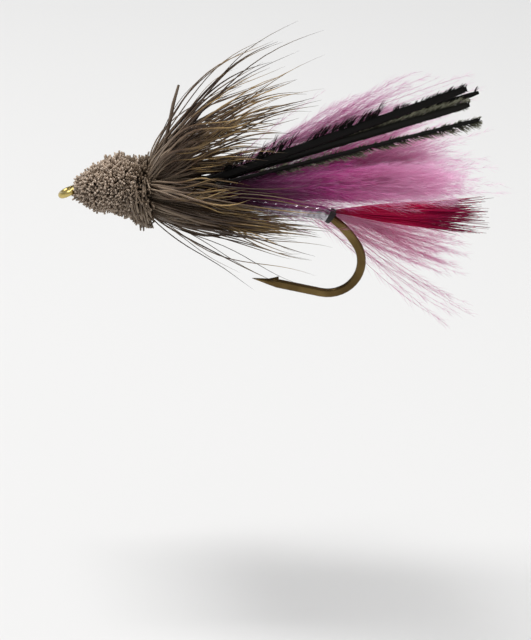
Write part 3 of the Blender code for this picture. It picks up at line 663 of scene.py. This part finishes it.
def collar_flare(angle, share):
    """Lean from the shank in degrees: close along the body below, clear of the herls on top."""
    over = (1.0 + math.cos(angle)) / 2
    low = FLARE_LEAST[0] + FLARE_LEAST[1] * over ** 2
    high = FLARE_MOST[0] + FLARE_MOST[1] * over ** 2
    return low + (high - low) * share ** (1.8 - 0.6 * over)


# name, middle of the bunch in degrees round the shank, hairs, length at the bunch's first and last edge,
# and strays that stand out of it as angle, flare and length
SECTORS = (
    ("collar_top", 0.0, 140, (14.0, 18.4), (
        (-4, 45, 23.0), (7, 50, 21.5), (-10, 55, 18.5), (12, 42, 21.0), (-16, 58, 16.0), (3, 62, 13.5),
        (-7, 48, 20.0), (5, 38, 20.5), (-2, 33, 19.5))),
    ("collar_far", 90.0, 105, (15.4, 15.4), ((80, 24, 18.0), (101, 19, 17.0))),
    ("collar_under", 180.0, 62, (13.2, 14.0), (
        (175, 24, 15.5), (192, 18, 17.5), (166, 32, 11.5), (184, 13, 18.0), (201, 27, 13.0),
        (170, 10, 17.0), (188, 21, 14.5), (196, 8, 16.5), (160, 15, 15.0))),
    ("collar_near", 270.0, 110, (19.0, 9.5), (
        (-60, 8, 18.5), (-55, 13, 17.6), (-72, 6, 18.0), (-66, 10, 19.0), (-50, 17, 16.6),
        (-84, 2, 16.5), (-97, 1, 15.5), (-112, 8, 16.0), (-48, 22, 17.0), (-103, -1, 16.8))),
)
t = np.linspace(0, 1, 16)
taper = np.interp(t, (0, 0.1, 0.35, 0.7, 0.87, 1), (0.8, 1, 0.92, 0.60, 0.32, 0.06))
for name, middle, count, lengths, strays in SECTORS:
    paths, widths = [], []
    clumps = [(rng.uniform(-BUNCH_HALF, BUNCH_HALF), rng.random(), rng.uniform(*LOCK_SWAY),
               rng.uniform(0, math.tau)) for _ in range(CLUMPS)]
    for _ in range(count):
        off, share, sway, phase = clumps[rng.integers(CLUMPS)]
        angle = math.radians(middle + off)
        share = min(1.0, max(0.0, share + rng.normal(0, 0.07)))
        flare = math.radians(collar_flare(angle, share))
        length = np.interp(off, (-BUNCH_HALF, BUNCH_HALF), lengths)
        paths.append(collar_hair(
            angle, math.radians(rng.normal(0, LOCK_HALF)), flare, length * rng.uniform(*HAIR_SHARE),
            ROOTS_IN + (ROOTS_DEEP[0] + ROOTS_DEEP[1] * math.cos(angle)) * share * rng.uniform(0.7, 1.0),
            (sway * rng.uniform(0.7, 1.2), phase + rng.normal(0, 0.3))))
        widths.append(rng.uniform(*HAIR_WIDTH) * taper)
    for angle, flare, reach in strays:
        sway = (rng.uniform(*STRAY_SWAY), rng.uniform(0, math.tau))
        paths.append(collar_hair(math.radians(angle), 0.0, math.radians(flare), reach, STRAY_ROOT, sway))
        widths.append(HAIR_WIDTH[0] * 0.85 * taper)
    if name == "collar_near":
        for _ in range(UNDERFUR):
            angle = math.radians(rng.uniform(*UNDERFUR_SPAN))
            flare = math.radians(rng.uniform(*UNDERFUR_FLARE))
            reach = rng.uniform(*UNDERFUR_LENGTH)
            sway = (UNDERFUR_SWAY, rng.uniform(0, 6))
            paths.append(collar_hair(angle, 0.0, flare, reach, UNDERFUR_ROOT, sway))
            widths.append(rng.uniform(*HAIR_WIDTH) * 0.8 * taper)
    hair = gather(name + "_hair", (tubes(paths, widths, 6, oval=0.6),), deer)
    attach(hair, "root")
    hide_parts(name)


# Head
# Three bunches of deer hair spun on the bare shank, packed tight and clipped to a blunt cone.
# The cut ends stand like a brush: taupe in front, darker in the rear ring of collar butts.

# mm behind the eye's centre, then mm from the shank to the cut ends above and below it
HEAD_OUTLINE = (
    (0.8, 0.75, 0.80), (1.74, 1.55, 1.45), (2.36, 2.05, 1.72), (3.3, 2.75, 1.80), (4.7, 3.55, 1.85),
    (5.56, 3.20, 1.98), (6.3, 3.05, 2.25), (7.0, 3.40, 2.70), (8.1, 3.45, 2.95))


def head_reach(x, angle):
    """Distance from the shank to the clipped outline."""
    at, over, under = np.array(HEAD_OUTLINE).T
    over = np.interp(x, at, over)
    under = np.interp(x, at, under)
    return under + (over - under) * (1.0 + np.cos(angle)) / 2


def on_head(x, angle, radius):
    """Points at distances along the fly, round the shank and out from it."""
    return np.stack([x, radius * np.sin(angle), SHANK_Z + radius * np.cos(angle)], axis=-1)


# Clipped hair gives the eye a dry, matt stubble of pale cut ends over dark gaps, browner in the ring; the
# darkening towards the roots is painted shade in the gaps.
taupe = fibre_skin(
    "clipped_deer_hair",
    ((0.0, "#2a2019"), (0.55, "#6a594a"), (0.8, "#9c8874"), (1.0, "#b4a08c")),
    ((0.0, "#34281f"), (0.55, "#8c7a6a"), (0.8, "#c8b4a2"), (1.0, "#e6d6c4")),
    0.55)
dark_butts = fibre_skin(
    "dark_collar_butts",
    ((0.0, "#2a2018"), (0.5, "#4a3b2e"), (0.85, "#665444"), (1.0, "#786654")),
    ((0.0, "#32271e"), (0.5, "#665646"), (0.85, "#9c8974"), (1.0, "#b4a28e")),
    0.45)
FRINGE_COUNT = 190
FRINGE_TURN = (0.5, 1.9, 3.0)   # radians from the top down to a root: least, usual, most
FRINGE_LENGTH = (1.2, 2.6)
FRINGE_WIDTH = (0.17, 0.24)
FRINGE_LIFT = (0.93, 0.16)      # share of the outline at a root, and how much more at the tip
STUB_FROM = (8.0, 0.0, 2.4)     # mm, root of the one that stands up
STUB_TIP = (10.0, -0.3, 11.8)
STUB_WIDTH = 0.36
STUB_CROOK = 0.22


def fringe(low, high):
    """Longer butts that the scissors missed: most lie down over the sides of the ring, one stands up."""
    t = np.linspace(0, 1, 6)
    paths = [np.outer(1.0 - t, STUB_FROM) + np.outer(t, STUB_TIP)]
    paths[0][:, 0] += STUB_CROOK * np.sin(t * 5.0)
    widths = [STUB_WIDTH * np.array([0.8, 1.0, 1.0, 1.0, 1.0, 0.7])]
    for _ in range(FRINGE_COUNT):
        side = rng.choice((-1, 1))
        angle = side * rng.triangular(*FRINGE_TURN)
        x = rng.uniform(low - 0.6, high - 0.2) + t * rng.uniform(0.1, 1.0)
        fall = rng.uniform(*FRINGE_LENGTH) / head_reach(x[0], angle)
        turn = angle + side * fall * t
        radius = head_reach(x, turn) * (FRINGE_LIFT[0] + FRINGE_LIFT[1] * t)
        radius = radius + rng.normal(0, 0.06) * np.sin(t * 3.0)
        paths.append(on_head(x, turn, radius))
        widths.append(rng.uniform(*FRINGE_WIDTH) * np.array([0.7, 1.0, 1.0, 1.0, 0.9, 0.3]))
    return tubes(paths, widths, 5, reach=(0.55, 0.98))


# name, tufts, hairs, their width, how uneven the cut is, how far the ends lean out of the bunch at its front
# and back (all in mm), skin and slot
BUNCHES = (
    ("head_butts", 360, 1400, 0.21, 0.28, (-1.10, 0.55), dark_butts, "dark_butts"),
    ("head_mid", 700, 2600, 0.23, 0.15, (-0.30, 0.35), taupe, "clipped_hair"),
    ("head_front", 480, 1700, 0.23, 0.15, (-1.00, 0.25), taupe, "clipped_hair"),
)
EVEN = (0.7549, 0.5698)     # steps that lay the tufts evenly along the bunch and round it
LOOSE_X = (0.06, 0.12)      # mm by which tufts, and hairs in a tuft, lie off their place along the bunch
LOOSE_TURN = (0.05, 0.06)   # radians by which they lie off it round the bunch
CUT = (0.6, 0.5)            # shares of the uneven cut that come tuft by tuft and hair by hair
ROOT_OUT = 0.45             # mm from the wire's middle to the roots
ROOT_PACK = 0.6             # share of the bunch's length into which the roots are packed
CROOK = 0.19                # mm by which the cut ends stray
CORE_SIDES = 28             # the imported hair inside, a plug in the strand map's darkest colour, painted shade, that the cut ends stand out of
CORE_RINGS = 9
CORE_SHARE = (0.60, 0.74)   # of the outline, at its ends and between
CORE_SHADE_SPOT = ((0.302, 0.02), (0.305, 0.02), (0.305, 0.03), (0.302, 0.03))    # dark root end of the strand map: painted shade
share = np.array([0.0, 0.55, 0.75, 0.88, 0.98, 1.0])
stray = np.array([0.0, 0.0, 0.25, 0.65, 1.0, 1.0])
for name, tufts, count, width, uneven, lean, skin, slot in BUNCHES:
    low, high = box(name)[0][0], box(name)[1][0]
    tuft = np.arange(count) % tufts
    x = low + (high - low) * (tuft * EVEN[0] % 1.0)
    x = x + rng.normal(0, LOOSE_X[0], tufts)[tuft] + rng.normal(0, LOOSE_X[1], count)
    x = np.clip(x, low, high)
    angle = math.tau * (tuft * EVEN[1] % 1.0)
    angle = angle + rng.normal(0, LOOSE_TURN[0], tufts)[tuft] + rng.normal(0, LOOSE_TURN[1], count)
    proud = rng.normal(0, uneven * CUT[0], tufts)[tuft] + rng.normal(0, uneven * CUT[1], count)
    middle = (low + high) / 2
    root = on_head(middle + (x - middle) * ROOT_PACK, angle, ROOT_OUT * np.ones(count))
    x = np.interp(x, (low, high), (low + lean[0], high + lean[1]))
    tip = on_head(x, angle, head_reach(x, angle) + proud)
    bend = rng.normal(0, CROOK, (count, 1, 3)) * stray[None, :, None]
    paths = root[:, None, :] + (tip - root)[:, None, :] * share[None, :, None] + bend
    wide = width * rng.uniform(0.75, 1.15, (count, 1)) * np.array([0.7, 1.0, 1.0, 1.0, 0.85, 0.02])
    rings = np.linspace(low, high, CORE_RINGS)
    turns = np.arange(CORE_SIDES) * math.tau / CORE_SIDES
    grid_x, grid_a = np.meshgrid(rings, turns, indexing="ij")
    ends = np.where((grid_x == low) | (grid_x == high), *CORE_SHARE)
    core = on_head(grid_x, grid_a, head_reach(grid_x, grid_a) * ends).reshape(-1, 3)
    i, k = np.meshgrid(np.arange(CORE_RINGS - 1) * CORE_SIDES, np.arange(CORE_SIDES), indexing="ij")
    j = (k + 1) % CORE_SIDES
    quads = np.stack([i + k, i + j, i + CORE_SIDES + j, i + CORE_SIDES + k], axis=-1).reshape(-1, 4)
    inside = np.tile(np.array(CORE_SHADE_SPOT), (len(quads), 1))
    groups = [tubes(paths, wide, 4), (core, quads, inside)]
    if name == "head_butts":
        groups.append(fringe(low, high))
    hair = gather(name + "_hair", groups, skin)
    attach(hair, "root")
    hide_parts(name)


# Floor, light and camera
# A plain pale floor well below the fly, which is held up by its hook, a large soft
# light above and to the left, a weaker one to the right, and pale light all round.

bpy.context.scene.view_settings.view_transform = "Standard"
FLOOR_Z = -42 * MM
FLOOR_SIZE = 12.0       # metres across
MIDDLE_X = 0.02         # metres from the eye to the middle of the fly
BACKDROP = "#dcdcdc"
SWEEP = (0.10, 0.60)    # metres from the fly where the floor goes over into the backdrop
bpy.ops.mesh.primitive_plane_add(size=FLOOR_SIZE, location=(MIDDLE_X, 0.0, FLOOR_Z))
floor = bpy.context.object
floor.name = "floor"
# Matt pale paper gives the eye an even ground with a soft shadow and no line where it ends. It counts as
# a darker paper for the light that it throws back on the fly.
pale, tree, shader = blank("pale_floor")
path = add(tree, "ShaderNodeLightPath").outputs
seen = add(tree, "ShaderNodeMath", {0: path["Is Camera Ray"], 1: path["Is Glossy Ray"]}, operation="MAXIMUM")
seen = add(tree, "ShaderNodeMath", {
    0: seen.outputs["Value"], 1: path["Is Transmission Ray"]}, operation="MAXIMUM")
paper = add(tree, "ShaderNodeMix", {
    "Factor": seen.outputs["Value"], 6: linear("#b6b7b7"), 7: linear("#dedddc")}, data_type="RGBA")
tree.links.new(paper.outputs[2], shader.inputs["Base Color"])
shader.inputs["Roughness"].default_value = 0.8
place = add(tree, "ShaderNodeNewGeometry").outputs["Position"]
away = add(tree, "ShaderNodeVectorMath", {0: place}, operation="LENGTH")
far = add(tree, "ShaderNodeMapRange", {
    "Value": away.outputs["Value"], "From Min": SWEEP[0], "From Max": SWEEP[1]},
    interpolation_type="SMOOTHSTEP")
swept = add(tree, "ShaderNodeMath", {
    0: far.outputs["Result"], 1: seen.outputs["Value"]}, operation="MULTIPLY")
sweep = add(tree, "ShaderNodeEmission", {"Color": linear(BACKDROP)})
both = add(tree, "ShaderNodeMixShader", {
    0: swept.outputs["Value"], 1: shader.outputs["BSDF"], 2: sweep.outputs["Emission"]})
tree.links.new(both.outputs["Shader"], tree.nodes["Material Output"].inputs["Surface"])
floor.data.materials.append(pale)

world = bpy.data.worlds.new("studio")
bpy.context.scene.world = world
world.use_nodes = True
tree = world.node_tree
around = add(tree, "ShaderNodeTexCoord").outputs["Generated"]
height = add(tree, "ShaderNodeSeparateXYZ", {"Vector": around}).outputs["Z"]
sky = add(tree, "ShaderNodeValToRGB", {"Fac": height}, (
    (0.0, BACKDROP), (0.14, "#e0e0e0"), (0.36, "#86888a"), (0.70, "#8c8e90"), (1.0, "#d0d2d2")))
tree.links.new(sky.outputs["Color"], tree.nodes["Background"].inputs["Color"])


def soft_light(name, place, size, watts):
    """A square soft light, metres across, turned to the middle of the fly."""
    lamp = bpy.data.lights.new(name, "AREA")
    lamp.size = size
    lamp.energy = watts
    item = bpy.data.objects.new(name, lamp)
    bpy.context.scene.collection.objects.link(item)
    item.location = place
    aim = Vector((MIDDLE_X, 0.0, 0.0)) - item.location
    item.rotation_euler = aim.to_track_quat("-Z", "Y").to_euler()


soft_light("key_light", (-0.42, -0.12, 1.45), 0.7, 22.5)
soft_light("fill_light", (1.10, -0.80, 0.70), 0.9, 2.0)

# The photograph's angle: square to the fly's side, looking down a little, with a slight roll.
IMAGE = (531, 640)      # pixels across and down
FOCAL_PX = 2500.0
AZIMUTH = math.radians(0.0)
ELEVATION = math.radians(20.0)
ROLL = math.radians(5.95)
DISTANCE = 241.5        # mm from the hook's eye, along the view
EYE_PX = (67.7, 191.9)  # where the hook's eye lies in the picture
back = Vector((math.sin(AZIMUTH) * math.cos(ELEVATION), -math.cos(AZIMUTH) * math.cos(ELEVATION),
               math.sin(ELEVATION)))
turn = back.to_track_quat("Z", "Y") @ Matrix.Rotation(ROLL, 3, "Z").to_quaternion()
right = turn @ Vector((1, 0, 0))
up = turn @ Vector((0, 1, 0))
depth = DISTANCE * MM
offset = right * ((EYE_PX[0] - IMAGE[0] / 2) / FOCAL_PX * depth)
offset -= up * ((EYE_PX[1] - IMAGE[1] / 2) / FOCAL_PX * depth)
lens = bpy.data.cameras.new("camera")
lens.sensor_fit = "VERTICAL"
lens.angle = 2 * math.atan(IMAGE[1] / 2 / FOCAL_PX)
lens.clip_start = 0.001
camera = bpy.data.objects.new("camera", lens)
bpy.context.scene.collection.objects.link(camera)
camera.rotation_mode = "QUATERNION"
camera.rotation_quaternion = turn
camera.location = back * depth - offset
bpy.context.scene.camera = camera
